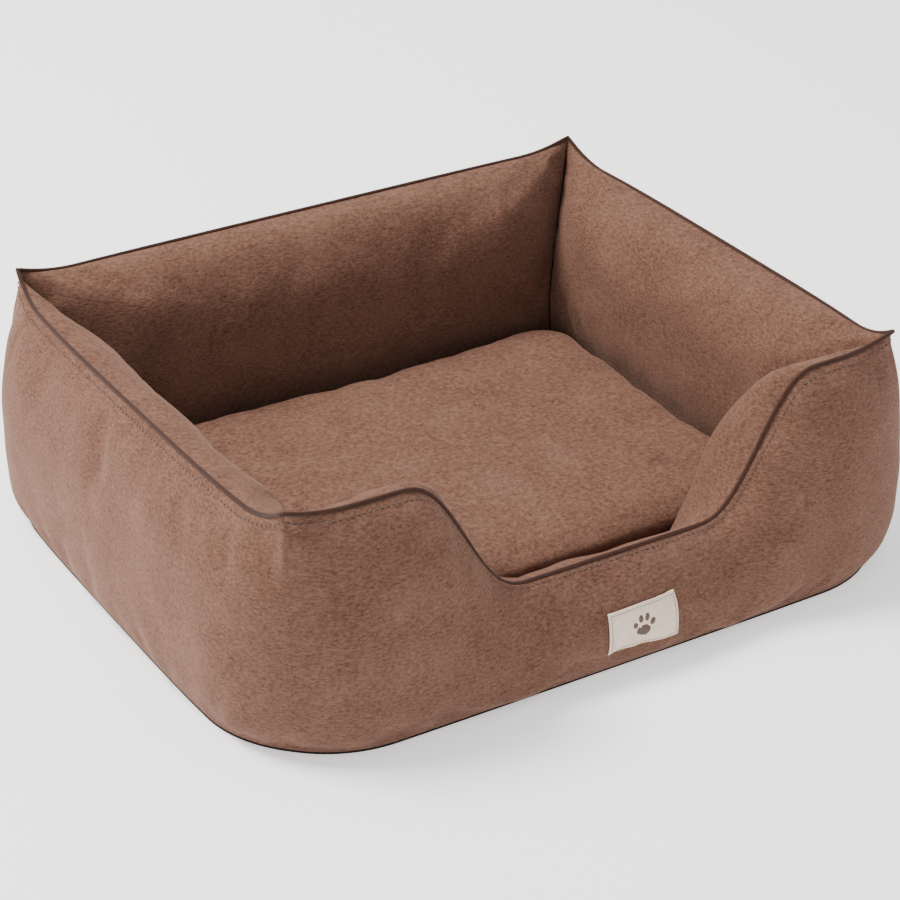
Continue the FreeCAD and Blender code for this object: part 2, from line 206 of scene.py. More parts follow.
# %% Woven cloths
def woven(name, dark, light, thread_mm, roughness, axes=("X", "Y")):
    """A plain weave: two sets of threads, over and under."""
    material, tree = new_material(name)
    place = add(tree, "ShaderNodeTexCoord")
    waves = []
    for axis in axes:
        waves.append(add(tree, "ShaderNodeTexWave", {"bands_direction": axis, "wave_profile": "SIN"},
                         {"Scale": math.pi / (10 * thread_mm * MM), "Distortion": 0.6, "Detail": 1.0},
                         {"Vector": (place, "Object")}))
    cross = add(tree, "ShaderNodeMath", {"operation": "MAXIMUM"}, None,
                {0: (waves[0], "Fac"), 1: (waves[1], "Fac")})
    speck = add(tree, "ShaderNodeTexNoise", inputs={"Scale": 1 / (6 * MM), "Detail": 4.0},
                links={"Vector": (place, "Object")})
    share = add(tree, "ShaderNodeMath", {"operation": "MULTIPLY"}, None,
                {0: (cross, "Value"), 1: (speck, "Fac")})
    thread = add(tree, "ShaderNodeMix", {"data_type": "RGBA"},
                 {"A": colour(dark), "B": colour(light)}, {"Factor": (share, "Value")})
    bump = add(tree, "ShaderNodeBump", inputs={"Strength": 0.5, "Distance": 0.2 * MM},
               links={"Height": (cross, "Value")})
    shader = add(tree, "ShaderNodeBsdfPrincipled",
                 inputs={"Roughness": roughness, "IOR": 1.45, "Specular IOR Level": 0.25,
                         "Sheen Weight": 0.1},
                 links={"Base Color": (thread, "Result"), "Normal": (bump, "Normal")})
    finish_material(tree, shader)
    return material


# a cord in a strip of woven cloth, nearly matt, with a faint line of thread; its dark brown, darker than
# the suede, is painted shade of the groove along the seam
SEAM_SHADE_PIPING = woven("piping_cord_with_painted_seam_shade", "2a140c", "47291c", 1.6, 0.85)
# coated polyester oxford: a coarse, even basket of threads, a little smoother than cotton
BASE_CLOTH = woven("oxford_base_cloth", "15100e", "3a2c27", 1.0, 0.8)
# undyed polyester lining: pale, thin and soft
LINING = woven("polyester_lining", "8d8478", "c2b8aa", 0.7, 0.8)
# damask-woven ribbon: fine cream threads that lie flat and reflect a little
LABEL = woven("woven_label_ribbon", "cdb8a2", "f0e2d2", 0.9, 0.7, ("X", "Z"))
# polyester zip tape: narrow, close and dull
ZIP_TAPE = woven("zip_tape", "3b261f", "6b4a3e", 0.6, 0.8, ("X", "Z"))


# %% [markdown]
# ## Threads, coils, rubber and alloy
# The small parts are smooth beside the cloth, so one grain that varies their colour and height is
# enough. What tells them apart is how they reflect: thread is dull, nylon is half glossy, and the
# slider's plating is a metal.


# %% Threads, coils, rubber and alloy
def speckled(name, dark, light, grain_mm, roughness, metallic=0.0, bump_mm=0.05):
    """A surface whose colour and height vary with one fine grain."""
    material, tree = new_material(name)
    place = add(tree, "ShaderNodeTexCoord")
    grain = add(tree, "ShaderNodeTexNoise", inputs={"Scale": 1 / (grain_mm * MM), "Detail": 3.0},
                links={"Vector": (place, "Object")})
    tint = add(tree, "ShaderNodeMix", {"data_type": "RGBA"},
               {"A": colour(dark), "B": colour(light)}, {"Factor": (grain, "Fac")})
    bump = add(tree, "ShaderNodeBump", inputs={"Strength": 0.4, "Distance": bump_mm * MM},
               links={"Height": (grain, "Fac")})
    shader = add(tree, "ShaderNodeBsdfPrincipled",
                 inputs={"Roughness": roughness, "Metallic": metallic},
                 links={"Base Color": (tint, "Result"), "Normal": (bump, "Normal")})
    finish_material(tree, shader)
    return material


# spun polyester thread: fuzzy, so it has no clear highlight
THREAD = speckled("polyester_thread", "5c3d31", "8a6655", 0.8, 0.75)
DARK_THREAD = speckled("dark_thread", "3c2d27", "6a564c", 0.8, 0.8)
# nylon monofilament, bent into a coil: smooth, with a soft highlight
NYLON = speckled("nylon_coil", "3a2a24", "5c463c", 2.0, 0.45)
# die-cast zinc with nickel plating: a warm grey metal with a blurred reflection
ALLOY = speckled("nickel_plated_zinc", "8f8b86", "c9c5bf", 3.0, 0.32, 1.0)
# printed rubber dots: near black and dull
RUBBER = speckled("rubber_grip_dots", "14110f", "2b2522", 1.5, 0.7)

# %% [markdown]
# ## The walls
# Each wall is a stuffed tube of cloth: the outer strip goes up its outside, the inner panel comes
# down its inside, and the two are sewn together along the ridge. One grid of points follows that
# tube round all four walls. Its columns cross the walls and its rows run along them, so the ridge,
# the foot and the corner seams are lines of the grid, and a cloth simulation can hold them while it
# blows the panels up.

# %% Sizes of the walls
piping_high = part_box("ridge_piping")[1]
cover_low, cover_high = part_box("outer_cover")
chamber_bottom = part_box("inner_panel_back")[0][2]
PIPING_RADIUS = 2.0 * MM
EAR_HALF_X = 283 * MM
EAR_HALF_Y = piping_high[1] - PIPING_RADIUS
EAR_HEIGHT = piping_high[2] - PIPING_RADIUS
EAR_RISE = 55 * MM
COVER_FOOT = cover_low[2]
END_BOW = 3 * MM
BULGE = cover_high[1] - EAR_HALF_Y - END_BOW
CORNER_SWELL = 9 * MM
CORNER_DEPTH = 52 * MM
CORNER_RADIUS = 105 * MM
SCOOP_CENTRE = 9 * MM
SCOOP_HEIGHT = 90 * MM
SCOOP_FLAT = 162 * MM
SCOOP_LENGTH = 394 * MM
WALLS = {  # name: angle, half length, half span, ridge height, bow, inner depth
    "left": (180, EAR_HALF_Y, EAR_HALF_X, 196 * MM, 9 * MM, 56 * MM),
    "front": (270, EAR_HALF_X, EAR_HALF_Y, 205 * MM, END_BOW, 60 * MM),
    "right": (0, EAR_HALF_Y, EAR_HALF_X, 196 * MM, 9 * MM, 56 * MM),
    "back": (90, EAR_HALF_X, EAR_HALF_Y, 204 * MM, END_BOW, 60 * MM),
}
OUTER = [(0.74, 0.0), (0.97, 0.12), (1.0, 0.30), (0.95, 0.52), (0.80, 0.73), (0.52, 0.89),
         (0.20, 0.975), (0.0, 1.0)]
OUTER_CORNER = [(-0.3, 0.0), (0.7, 0.12), (1.0, 0.30), (0.9, 0.52), (0.65, 0.73), (0.35, 0.87),
                (0.1, 0.955), (0.0, 1.0)]
INNER = [(0.0, 1.0), (0.2, 1.012), (0.5, 0.985), (0.77, 0.90), (0.95, 0.76), (1.0, 0.56),
         (0.97, 0.35), (0.80, 0.17), (0.66, 0.0)]
FRONT_INNER = [(0.0, 1.0), (0.15, 0.997), (0.35, 0.96), (0.6, 0.87), (0.85, 0.73), (1.0, 0.53),
               (0.97, 0.35), (0.80, 0.17), (0.66, 0.0)]
INNER_CORNER = [(0.0, 1.0), (0.03, 0.965), (0.10, 0.90), (0.25, 0.80), (0.50, 0.67), (0.80, 0.50),
                (0.98, 0.33), (0.88, 0.16), (0.76, 0.0)]


def smooth_step(u):
    u = min(max(u, 0.0), 1.0)
    return u * u * u * (u * (6 * u - 15) + 10)


def ridge_height(name, along):
    _, half_length, _, height, _, _ = WALLS[name]
    climb = max(0.0, 1 - (half_length - abs(along)) / EAR_RISE)
    height += (EAR_HEIGHT - height) * climb ** 2
    if name == "front":
        off = abs(along - SCOOP_CENTRE)
        rise = smooth_step((off - SCOOP_FLAT / 2) / ((SCOOP_LENGTH - SCOOP_FLAT) / 2))
        height = SCOOP_HEIGHT + (height - SCOOP_HEIGHT) * rise
    return height


CURVE_STEPS = 24


def through(points, count):
    """count points, evenly spaced along a smooth line through the given ones."""
    points = np.array(points)
    before, after = 2 * points[0] - points[1], 2 * points[-1] - points[-2]
    p = np.vstack([before, points, after])
    fine = []
    for i in range(1, len(p) - 2):
        for t in np.linspace(0, 1, CURVE_STEPS, endpoint=False):
            fine.append(0.5 * (2 * p[i] + (p[i + 1] - p[i - 1]) * t
                               + (2 * p[i - 1] - 5 * p[i] + 4 * p[i + 1] - p[i + 2]) * t * t
                               + (3 * p[i] - p[i - 1] - 3 * p[i + 1] + p[i + 2]) * t ** 3))
    fine = np.array(fine + [points[-1]])
    reach = np.concatenate([[0], np.cumsum(np.linalg.norm(np.diff(fine, axis=0), axis=1))])
    at = np.linspace(0, reach[-1], count)
    return np.stack([np.interp(at, reach, fine[:, k]) for k in range(fine.shape[1])], axis=1)


def wall_column(name, share, rows, inside):
    """Points of one section of a wall, up the outside or down the inside."""
    angle, half_length, half_span, full_height, bow, depth = WALLS[name]
    along = share * half_length
    u = min((half_length - abs(along)) / (CORNER_RADIUS * math.sqrt(0.5)), 1.0)
    near_ear = (1 - math.sqrt(1 - (1 - u) ** 2 / 2)) / (1 - math.sqrt(0.5))
    height = ridge_height(name, along)
    middle, corner = OUTER, OUTER_CORNER
    if inside:
        middle, corner = (FRONT_INNER if name == "front" else INNER), INNER_CORNER
    depth, corner_reach = (-depth, -CORNER_DEPTH) if inside else (BULGE, CORNER_SWELL)
    bottom = chamber_bottom if inside else COVER_FOOT
    # where the ridge dips, the top of the inside stays as round as it is elsewhere
    dip = max(1.0, (full_height - bottom) / (height - bottom)) if inside else 1.0
    path = []
    for (m_out, m_up), (c_out, c_up) in zip(middle, corner):
        corner_out, middle_out = c_out * corner_reach, m_out * depth
        out = middle_out + (corner_out - middle_out) * near_ear
        up = (m_up + (c_up - m_up) * near_ear) ** dip
        end_out = out if inside else corner_out
        path.append((share * (half_length + end_out), half_span + out + bow * (1 - share ** 4),
                     bottom + (height - bottom) * up))
    turn = math.radians(angle)
    path = through(path, rows)
    along, away = path[:, 0], path[:, 1]
    return np.stack([away * math.cos(turn) - along * math.sin(turn),
                     away * math.sin(turn) + along * math.cos(turn), path[:, 2]], axis=1)


# %% The grid of the walls
CELL = 7 * MM
OUTER_ROWS = round(225 * MM / CELL)
INNER_ROWS = round(250 * MM / CELL)
UNDER_ROWS = 6               # rows that close the tube below, never shown
CLOSER = 0.35                # how much closer the columns stand at an ear


def wall_shares(name):
    """Places along a wall, closer together at its ears."""
    count = round(2 * WALLS[name][1] / CELL)
    even = np.linspace(-1, 1, count + 1)
    return even + CLOSER * np.sin(math.pi * even) / math.pi


wall_start, grid = {}, []
for name in WALLS:
    wall_start[name] = len(grid)
    for share in wall_shares(name)[:-1]:
        outer = wall_column(name, share, OUTER_ROWS, False)
        inner = wall_column(name, share, INNER_ROWS, True)
        under = np.linspace(inner[-1], outer[0], UNDER_ROWS + 2)[1:-1]
        grid.append(np.vstack([outer, inner[1:], under]))
grid = np.array(grid)
RIDGE = OUTER_ROWS - 1
FOOT = OUTER_ROWS + INNER_ROWS - 2
print("wall grid", grid.shape)


def grid_faces(width, rows, first_row, last_row, closed):
    """Quads of a grid's rows, numbered column by column."""
    faces = []
    for i in range(width if closed else width - 1):
        j = (i + 1) % width
        for k in range(first_row, last_row):
            faces.append((i * rows + k, j * rows + k, j * rows + (k + 1) % rows,
                          i * rows + (k + 1) % rows))
    return faces


def new_piece(name, points, faces, material=None):
    """A smooth-shaded mesh object made of points and faces."""
    mesh = bpy.data.meshes.new(name)
    mesh.from_pydata([tuple(p) for p in points], [], faces)
    mesh.validate()
    mesh.shade_smooth()
    piece = bpy.data.objects.new(name, mesh)
    bpy.context.collection.objects.link(piece)
    if material:
        mesh.materials.append(material)
    return piece


# %% [markdown]
# ## Blowing up the walls
# Blender's cloth, with a pressure inside it and no gravity, does what stuffing does. The cloth is
# cut a few percent larger than the seams that hold it, so it puckers beside them. The ridge and the
# feet are pinned, and no point may go far from where the frame has it.


# %% Cloth simulation
def inflate(name, points, faces, pins, shrink, pressure, reach, frames=16):
    """The points after a short cloth simulation, no further than reach from where they began."""
    piece = new_piece(name, points, faces)
    pin_group = piece.vertex_groups.new(name="pins")
    seam_group = piece.vertex_groups.new(name="seams")
    for index, weight in pins.items():
        pin_group.add([index], weight, "REPLACE")
    for index, weight in shrink.items():
        seam_group.add([index], weight, "REPLACE")
    modifier = piece.modifiers.new("cloth", "CLOTH")
    cloth = modifier.settings
    cloth.quality = 6
    cloth.mass = 0.25
    cloth.tension_stiffness = 12
    cloth.compression_stiffness = 12
    cloth.shear_stiffness = 6
    cloth.bending_stiffness = 0.35
    cloth.air_damping = 2
    cloth.vertex_group_mass = "pins"
    cloth.pin_stiffness = 6
    cloth.vertex_group_shrink = "seams"
    cloth.shrink_min = -0.035
    cloth.shrink_max = 0.01
    cloth.use_pressure = True
    cloth.uniform_pressure_force = pressure
    cloth.effector_weights.gravity = 0
    modifier.point_cache.frame_start = 1
    modifier.point_cache.frame_end = frames
    scene = bpy.context.scene
    for step in range(1, frames + 1):
        scene.frame_set(step)
    evaluated = piece.evaluated_get(bpy.context.evaluated_depsgraph_get())
    flat = np.empty(len(points) * 3)
    evaluated.data.vertices.foreach_get("co", flat)
    moved = flat.reshape(-1, 3)
    scene.frame_set(1)
    bpy.data.objects.remove(piece)
    start = np.array(points)
    step = moved - start
    length = np.linalg.norm(step, axis=1, keepdims=True)
    print(name, "moved", round(float(length.mean() / MM), 2), "mm on average, at most",
          round(float(length.max() / MM), 1))
    eased = reach * np.tanh(length / reach)
    return start + step * eased / np.maximum(length, 1e-9)


SEAM_HOLD, CORNER_HOLD = 1.0, 0.9
WALL_PRESSURE, WALL_REACH = 3.5, 3 * MM

wide, rows = grid.shape[:2]
ears = set(wall_start.values())
pins, seams = {}, {}
for i in range(wide):
    for k in range(rows):
        index = i * rows + k
        if k == RIDGE or k == 0 or k >= FOOT:
            pins[index] = SEAM_HOLD
        elif i in ears and k > RIDGE:
            pins[index] = CORNER_HOLD
        if abs(k - RIDGE) <= 1 or k <= 1 or k >= FOOT - 1 or (i in ears and k > RIDGE):
            seams[index] = 1.0
wall_points = inflate("wall_cloth", grid.reshape(-1, 3), grid_faces(wide, rows, 0, rows, True),
                      pins, seams, WALL_PRESSURE, WALL_REACH).reshape(wide, rows, 3)


# %% [markdown]
# ## Lumps and gathers
# Loose fibre lies unevenly behind the cloth, and a sewn edge draws it into small folds. Both are
# smaller than the simulation's own swelling. Modelling each by hand would look arranged, so seeded
# noise moves the points along their normals, and gives the same bumps on every run.


# %% Soft lumps of the stuffing
def lumps(points, size_mm, height_mm, seed):
    """Low bumps, as loose fibre makes behind cloth."""
    offset = Vector((seed, seed * 0.7, -seed))
    return np.array([height_mm * MM * noise.noise(Vector(p) / (size_mm * MM) + offset)
                     for p in points])


def grid_normals(points):
    """Normals of a grid closed both ways."""
    along = np.roll(points, -1, axis=0) - np.roll(points, 1, axis=0)
    across = np.roll(points, -1, axis=1) - np.roll(points, 1, axis=1)
    normal = np.cross(along, across)
    return normal / np.maximum(np.linalg.norm(normal, axis=2, keepdims=True), 1e-9)


SEAM_CALM = 25 * MM            # lumps fade out this close to a seam
normals = grid_normals(wall_points)
away_from_seam = np.array([min(abs(k - RIDGE), k, abs(FOOT - k)) for k in range(rows)]) * CELL
ease = np.clip(away_from_seam / SEAM_CALM, 0, 1)[None, :]
flat_points = wall_points.reshape(-1, 3)
bumps = (lumps(flat_points, 75, 2.4, 3.1) + lumps(flat_points, 30, 0.9, 8.4)).reshape(wide, rows)


def gathers(reach_mm, width_mm, height_mm, row, seed):
    """Small folds that run away from a seam, where the sewn cloth is gathered."""
    round_wall = np.cumsum(np.linalg.norm(np.diff(wall_points[:, row], axis=0,
                                                  append=wall_points[:1, row]), axis=1))
    wave = np.array([noise.noise(Vector((at / (width_mm * MM), seed, 0.0))) for at in round_wall])
    from_seam = np.abs(np.arange(rows) - row) * CELL / (reach_mm * MM)
    fade = from_seam * np.exp(1 - 3 * from_seam) * 1.1
    return height_mm * MM * wave[:, None] * fade[None, :]


bumps = (bumps * ease + gathers(reach_mm=34, width_mm=13, height_mm=2.6, row=0, seed=1.7)
         + gathers(reach_mm=26, width_mm=10, height_mm=1.8, row=RIDGE, seed=5.2))
bumps = bumps + gathers(reach_mm=26, width_mm=12, height_mm=1.6, row=FOOT, seed=9.3)
wall_points = wall_points + normals * bumps[:, :, None]
print("walls", wall_points.min(axis=(0, 1)), wall_points.max(axis=(0, 1)))


# %% [markdown]
# ## Covers of the walls
# The outside is one strip of suede and each wall has its own inner panel. They are cut from the one
# grid, so they meet exactly along the ridge. Solidify gives the cloth its millimetre inwards, and one
# level of subdivision rounds off the grid.


# %% Covers of the walls
def cloth_piece(name, points, faces, thickness_mm, material, body, slot, nodes):
    """A cloth skin with its thickness inwards, riding on a body and standing for CAD nodes."""
    piece = new_piece(name, points, faces, material)
    solid = piece.modifiers.new("thickness", "SOLIDIFY")
    solid.thickness = thickness_mm * MM
    solid.offset = -1
    smooth = piece.modifiers.new("smooth", "SUBSURF")
    smooth.levels = 1
    smooth.render_levels = 1
    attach(piece, body)
    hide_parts(*nodes)
    return piece


def compact(points, faces):
    """Only the points that the faces use."""
    used = sorted({i for face in faces for i in face})
    renumber = {old: new for new, old in enumerate(used)}
    return points[used], [tuple(renumber[i] for i in face) for face in faces]


flat_points = wall_points.reshape(-1, 3)
faces = grid_faces(wide, rows, 0, RIDGE, True)
outer_cover = cloth_piece("outer_cover_suede", *compact(flat_points, faces), 1.0, SUEDE, "bed_shell",
                          "suede", ["outer_cover"])
wall_end = dict(zip(WALLS, list(wall_start.values())[1:] + [wide]))
for name, start in wall_start.items():
    faces = []
    for i in range(start, wall_end[name]):
        j = (i + 1) % wide
        faces += [(i * rows + k, j * rows + k, j * rows + k + 1, i * rows + k + 1)
                  for k in range(RIDGE, FOOT)]
    panel = cloth_piece(f"inner_panel_{name}_suede", *compact(flat_points, faces), 1.0, SUEDE,
                        "bed_shell", "suede", [f"inner_panel_{name}", f"wall_fill_{name}"])
print("outer cover", len(outer_cover.data.polygons), "faces before smoothing")

# %% [markdown]
# ## Piping along the ridge
# A cord wrapped in a strip of cloth is caught in the seam at the top of the walls; its dark brown is
# painted shade of the seam's groove.
# It stiffens the edge and hides the stitches. It is a round tube swept along the ridge row.


# %% Ridge piping
def tube(name, line, radius, sides, material):
    """A round cord along a closed line of points."""
    line = np.array(line)
    count = len(line)
    ahead = np.roll(line, -1, axis=0) - np.roll(line, 1, axis=0)
    side = np.cross(ahead, (0, 0, 1.0))
    side /= np.linalg.norm(side, axis=1, keepdims=True)
    lift = np.cross(side, ahead)
    lift /= np.linalg.norm(lift, axis=1, keepdims=True)
    points, faces = [], []
    for i in range(count):
        for k in range(sides):
            turn = 2 * math.pi * k / sides
            points.append(line[i] + radius * (math.cos(turn) * side[i] + math.sin(turn) * lift[i]))
            j, m = (i + 1) % count, (k + 1) % sides
            faces.append((i * sides + k, i * sides + m, j * sides + m, j * sides + k))
    return new_piece(name, points, faces, material)


# the cord's dark brown is painted shade of the groove along the ridge seam
piping = tube("ridge_piping_cord", wall_points[:, RIDGE], PIPING_RADIUS * 0.95, 12, SEAM_SHADE_PIPING)
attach(piping, "bed_shell")
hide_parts("ridge_piping")

# %% [markdown]
# ## What repeats along a path
# Stitches, and the teeth of a zip, are one small shape repeated along a line. A Geometry Nodes tree
# does that: it walks along the path in equal steps, puts a bead on each step, and turns the bead to
# follow the path.


# %% Beads along a path
def bead_tree():
    tree = bpy.data.node_groups.new("beads_along_a_path", "GeometryNodeTree")
    face = tree.interface
    face.new_socket("Geometry", in_out="INPUT", socket_type="NodeSocketGeometry")
    for name in ("Spacing", "Bead Length", "Bead Width", "Bead Height"):
        face.new_socket(name, in_out="INPUT", socket_type="NodeSocketFloat")
    face.new_socket("Material", in_out="INPUT", socket_type="NodeSocketMaterial")
    face.new_socket("Geometry", in_out="OUTPUT", socket_type="NodeSocketGeometry")
    given = add(tree, "NodeGroupInput")
    path = add(tree, "GeometryNodeMeshToCurve", links={"Mesh": (given, "Geometry")})
    steps = add(tree, "GeometryNodeResampleCurve", {"mode": "LENGTH"},
                links={"Curve": (path, "Curve"), "Length": (given, "Spacing")})
    size = add(tree, "ShaderNodeCombineXYZ", links={"X": (given, "Bead Length"),
                                                    "Y": (given, "Bead Width"),
                                                    "Z": (given, "Bead Height")})
    bead = add(tree, "GeometryNodeMeshUVSphere", inputs={"Segments": 8, "Rings": 5, "Radius": 0.5})
    shaped = add(tree, "GeometryNodeTransform", links={"Geometry": (bead, "Mesh"),
                                                       "Scale": (size, "Vector")})
    tangent = add(tree, "GeometryNodeInputTangent")
    turned = add(tree, "FunctionNodeAlignEulerToVector", {"axis": "X"},
                 links={"Vector": (tangent, "Tangent")})
    placed = add(tree, "GeometryNodeInstanceOnPoints",
                 links={"Points": (steps, "Curve"), "Instance": (shaped, "Geometry"),
                        "Rotation": (turned, "Rotation")})
    real = add(tree, "GeometryNodeRealizeInstances", links={"Geometry": (placed, "Instances")})
    coloured = add(tree, "GeometryNodeSetMaterial", links={"Geometry": (real, "Geometry"),
                                                           "Material": (given, "Material")})
    add(tree, "NodeGroupOutput", links={"Geometry": (coloured, "Geometry")})
    return tree


BEADS = bead_tree()


def grown(name, tree, points, edges, values, body):
    """A plain mesh of what a tree grows on some points and edges."""
    carrier = bpy.data.meshes.new(name + "_path")
    carrier.from_pydata([tuple(p) for p in points], edges, [])
    source = bpy.data.objects.new(name + "_path", carrier)
    bpy.context.collection.objects.link(source)
    modifier = source.modifiers.new("grow", "NODES")
    modifier.node_group = tree
    for item in tree.interface.items_tree:
        if item.in_out == "INPUT" and item.name in values:
            modifier[item.identifier] = values[item.name]
    evaluated = source.evaluated_get(bpy.context.evaluated_depsgraph_get())
    mesh = bpy.data.meshes.new_from_object(evaluated)
    bpy.data.objects.remove(source)
    mesh.shade_smooth()
    piece = bpy.data.objects.new(name, mesh)
    bpy.context.collection.objects.link(piece)
    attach(piece, body)
    print(name, len(mesh.polygons), "faces")
    return piece


def loop_edges(count, closed=True):
    return [(i, (i + 1) % count) for i in range(count if closed else count - 1)]


# %% [markdown]
# ## Topstitching
# A line of stitches holds the seam allowance flat just below the piping. Each stitch is a bead, set
# a little proud of the swollen cloth so that it is not buried in it.

# %% Topstitching below the piping
STITCH_BELOW = 8 * MM
STITCH_PROUD = 0.35
surface_normals = grid_normals(wall_points)
stitch_line = []
for i in range(wide):
    near, far = wall_points[i, RIDGE - 1], wall_points[i, RIDGE - 2]
    beyond = (STITCH_BELOW - np.linalg.norm(near - wall_points[i, RIDGE])) / CELL
    place = near + (far - near) * max(beyond, 0.0)
    stitch_line.append(place + surface_normals[i, RIDGE - 1] * STITCH_PROUD * MM)
grown("ridge_topstitching", BEADS, stitch_line, loop_edges(wide),
      {"Spacing": 5.0 * MM, "Bead Length": 3.6 * MM, "Bead Width": 1.1 * MM, "Bead Height": 1.1 * MM,
       "Material": DARK_THREAD}, "bed_shell")

# %% [markdown]
# ## The underside and the floor of the well
# The base is a coarse dark cloth with rubber dots that keep the bed from sliding. A quilted lining
# covers the floor of the well, under the loose cushion. Both are flat cloth, held by the walls'
# foot seam all round, so both follow that outline.


# %% Outline and layers of the foot
def foot_outline(inset_mm):
    """The outline of the walls' foot, moved inwards."""
    outline = grid[:, 0, :2]
    ahead = np.roll(outline, -1, axis=0) - np.roll(outline, 1, axis=0)
    away = np.stack([ahead[:, 1], -ahead[:, 0]], axis=1)
    away /= np.linalg.norm(away, axis=1, keepdims=True)
    return outline - away * inset_mm * MM


def inside_outline(point, outline):
    """Whether a line to the right of the point crosses the outline an odd number of times."""
    x, y = point
    ahead = np.roll(outline, -1, axis=0)
    step = ahead - outline
    crosses = (outline[:, 1] > y) != (ahead[:, 1] > y)
    with np.errstate(divide="ignore", invalid="ignore"):
        meets = outline[:, 0] + (y - outline[:, 1]) / step[:, 1] * step[:, 0]
    return bool(np.count_nonzero(crosses & (meets > x)) % 2)


FLAT_RINGS = 40
QUILT_PITCH = 60 * MM
QUILT_EDGE = 2.5              # how steeply a quilted field rises from its stitch line


def flat_cloth(name, inset_mm, top, thickness_mm, material, quilt_mm=0.0):
    """A sheet with the foot's outline: rings that shrink to a small middle, so it can be quilted."""
    outline = foot_outline(inset_mm)
    points, faces = [], []
    count = len(outline)
    for r in range(FLAT_RINGS):
        scale = 1 - r / (FLAT_RINGS - 0.5)
        for x, y in outline * scale:
            lines = (math.sin(math.pi * (x + y) / QUILT_PITCH)
                     * math.sin(math.pi * (x - y) / QUILT_PITCH))
            points.append((x, y, top - quilt_mm * MM * (1 - min(abs(lines) * QUILT_EDGE, 1.0))))
    for r in range(FLAT_RINGS - 1):
        faces += [(r * count + i, r * count + (i + 1) % count, (r + 1) * count + (i + 1) % count,
                   (r + 1) * count + i) for i in range(count)]
    faces.append(tuple((FLAT_RINGS - 1) * count + i for i in range(count)))
    piece = new_piece(name, points, faces, material)
    solid = piece.modifiers.new("thickness", "SOLIDIFY")
    solid.thickness = thickness_mm * MM
    solid.offset = -1
    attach(piece, "bed_shell")
    return piece, outline


DOT_HEIGHT = 0.7
base_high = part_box("base_cloth")[1]
base, outline = flat_cloth("base_cloth_sheet", 0.0, base_high[2], 1.5 - DOT_HEIGHT, BASE_CLOTH)
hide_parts("base_cloth")
lining_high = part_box("floor_lining")[1]
lining, outline = flat_cloth("floor_lining_quilt", 3.0, lining_high[2], 1.0, LINING, 1.2)
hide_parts("floor_lining", "base_wadding")


# %% [markdown]
# ## Grip dots
# Rubber dots are printed on the base in staggered rows. They are one low cone repeated well over a
# thousand times, which suits Geometry Nodes: the script lists the spots, and the tree sets a dot on each.


# %% Grip dots
def dot_tree():
    tree = bpy.data.node_groups.new("dots_on_points", "GeometryNodeTree")
    face = tree.interface
    face.new_socket("Geometry", in_out="INPUT", socket_type="NodeSocketGeometry")
    face.new_socket("Dot Radius", in_out="INPUT", socket_type="NodeSocketFloat")
    face.new_socket("Dot Height", in_out="INPUT", socket_type="NodeSocketFloat")
    face.new_socket("Material", in_out="INPUT", socket_type="NodeSocketMaterial")
    face.new_socket("Geometry", in_out="OUTPUT", socket_type="NodeSocketGeometry")
    given = add(tree, "NodeGroupInput")
    dot = add(tree, "GeometryNodeMeshCone", {"fill_type": "NGON"}, {"Vertices": 10},
              {"Radius Bottom": (given, "Dot Radius"), "Depth": (given, "Dot Height")})
    thin = add(tree, "ShaderNodeMath", {"operation": "MULTIPLY"}, {1: 0.6}, {0: (given, "Dot Radius")})
    tree.links.new(thin.outputs[0], dot.inputs["Radius Top"])
    placed = add(tree, "GeometryNodeInstanceOnPoints", None, {"Rotation": (math.pi, 0, 0)},
                 {"Points": (given, "Geometry"), "Instance": (dot, "Mesh")})
    real = add(tree, "GeometryNodeRealizeInstances", links={"Geometry": (placed, "Instances")})
    coloured = add(tree, "GeometryNodeSetMaterial", links={"Geometry": (real, "Geometry"),
                                                           "Material": (given, "Material")})
    add(tree, "NodeGroupOutput", links={"Geometry": (coloured, "Geometry")})
    return tree


DOT_SPACING = 14 * MM
DOT_RADIUS = 2.2 * MM
DOT_MARGIN_MM = 8.0
DOT_COLUMNS, DOT_ROWS = 23, 20
dot_edge = foot_outline(DOT_MARGIN_MM)
dots = []
for column in range(-DOT_COLUMNS, DOT_COLUMNS + 1):
    for row in range(-DOT_ROWS, DOT_ROWS + 1):
        spot = (DOT_SPACING * (column + 0.5 * (row % 2)), DOT_SPACING * row * math.sqrt(0.75))
        if inside_outline(spot, dot_edge):
            dots.append((*spot, DOT_HEIGHT * MM))
grown("base_grip_dots", dot_tree(), dots, [],
      {"Dot Radius": DOT_RADIUS, "Dot Height": DOT_HEIGHT * MM, "Material": RUBBER}, "bed_shell")
print(len(dots), "grip dots")

# %% [markdown]
# ## The label
# A woven ribbon label is sewn to the front. It lies on the cover, so each of its points is found by
# looking straight back at the cover and stopping just short of it.


# %% Label
cover_tree = BVHTree.FromPolygons([Vector(p) for p in flat_points],
                                  grid_faces(wide, rows, 0, RIDGE, True))


IN_FRONT = 500 * MM


def on_cover(x, z, lift_mm):
    """The point of the cover straight behind (x, z), lifted off it a little."""
    hit = cover_tree.ray_cast(Vector((x, -IN_FRONT, z)), Vector((0, 1, 0)))
    return hit[0] + hit[1].normalized() * lift_mm * MM * (1 if hit[1].y < 0 else -1)


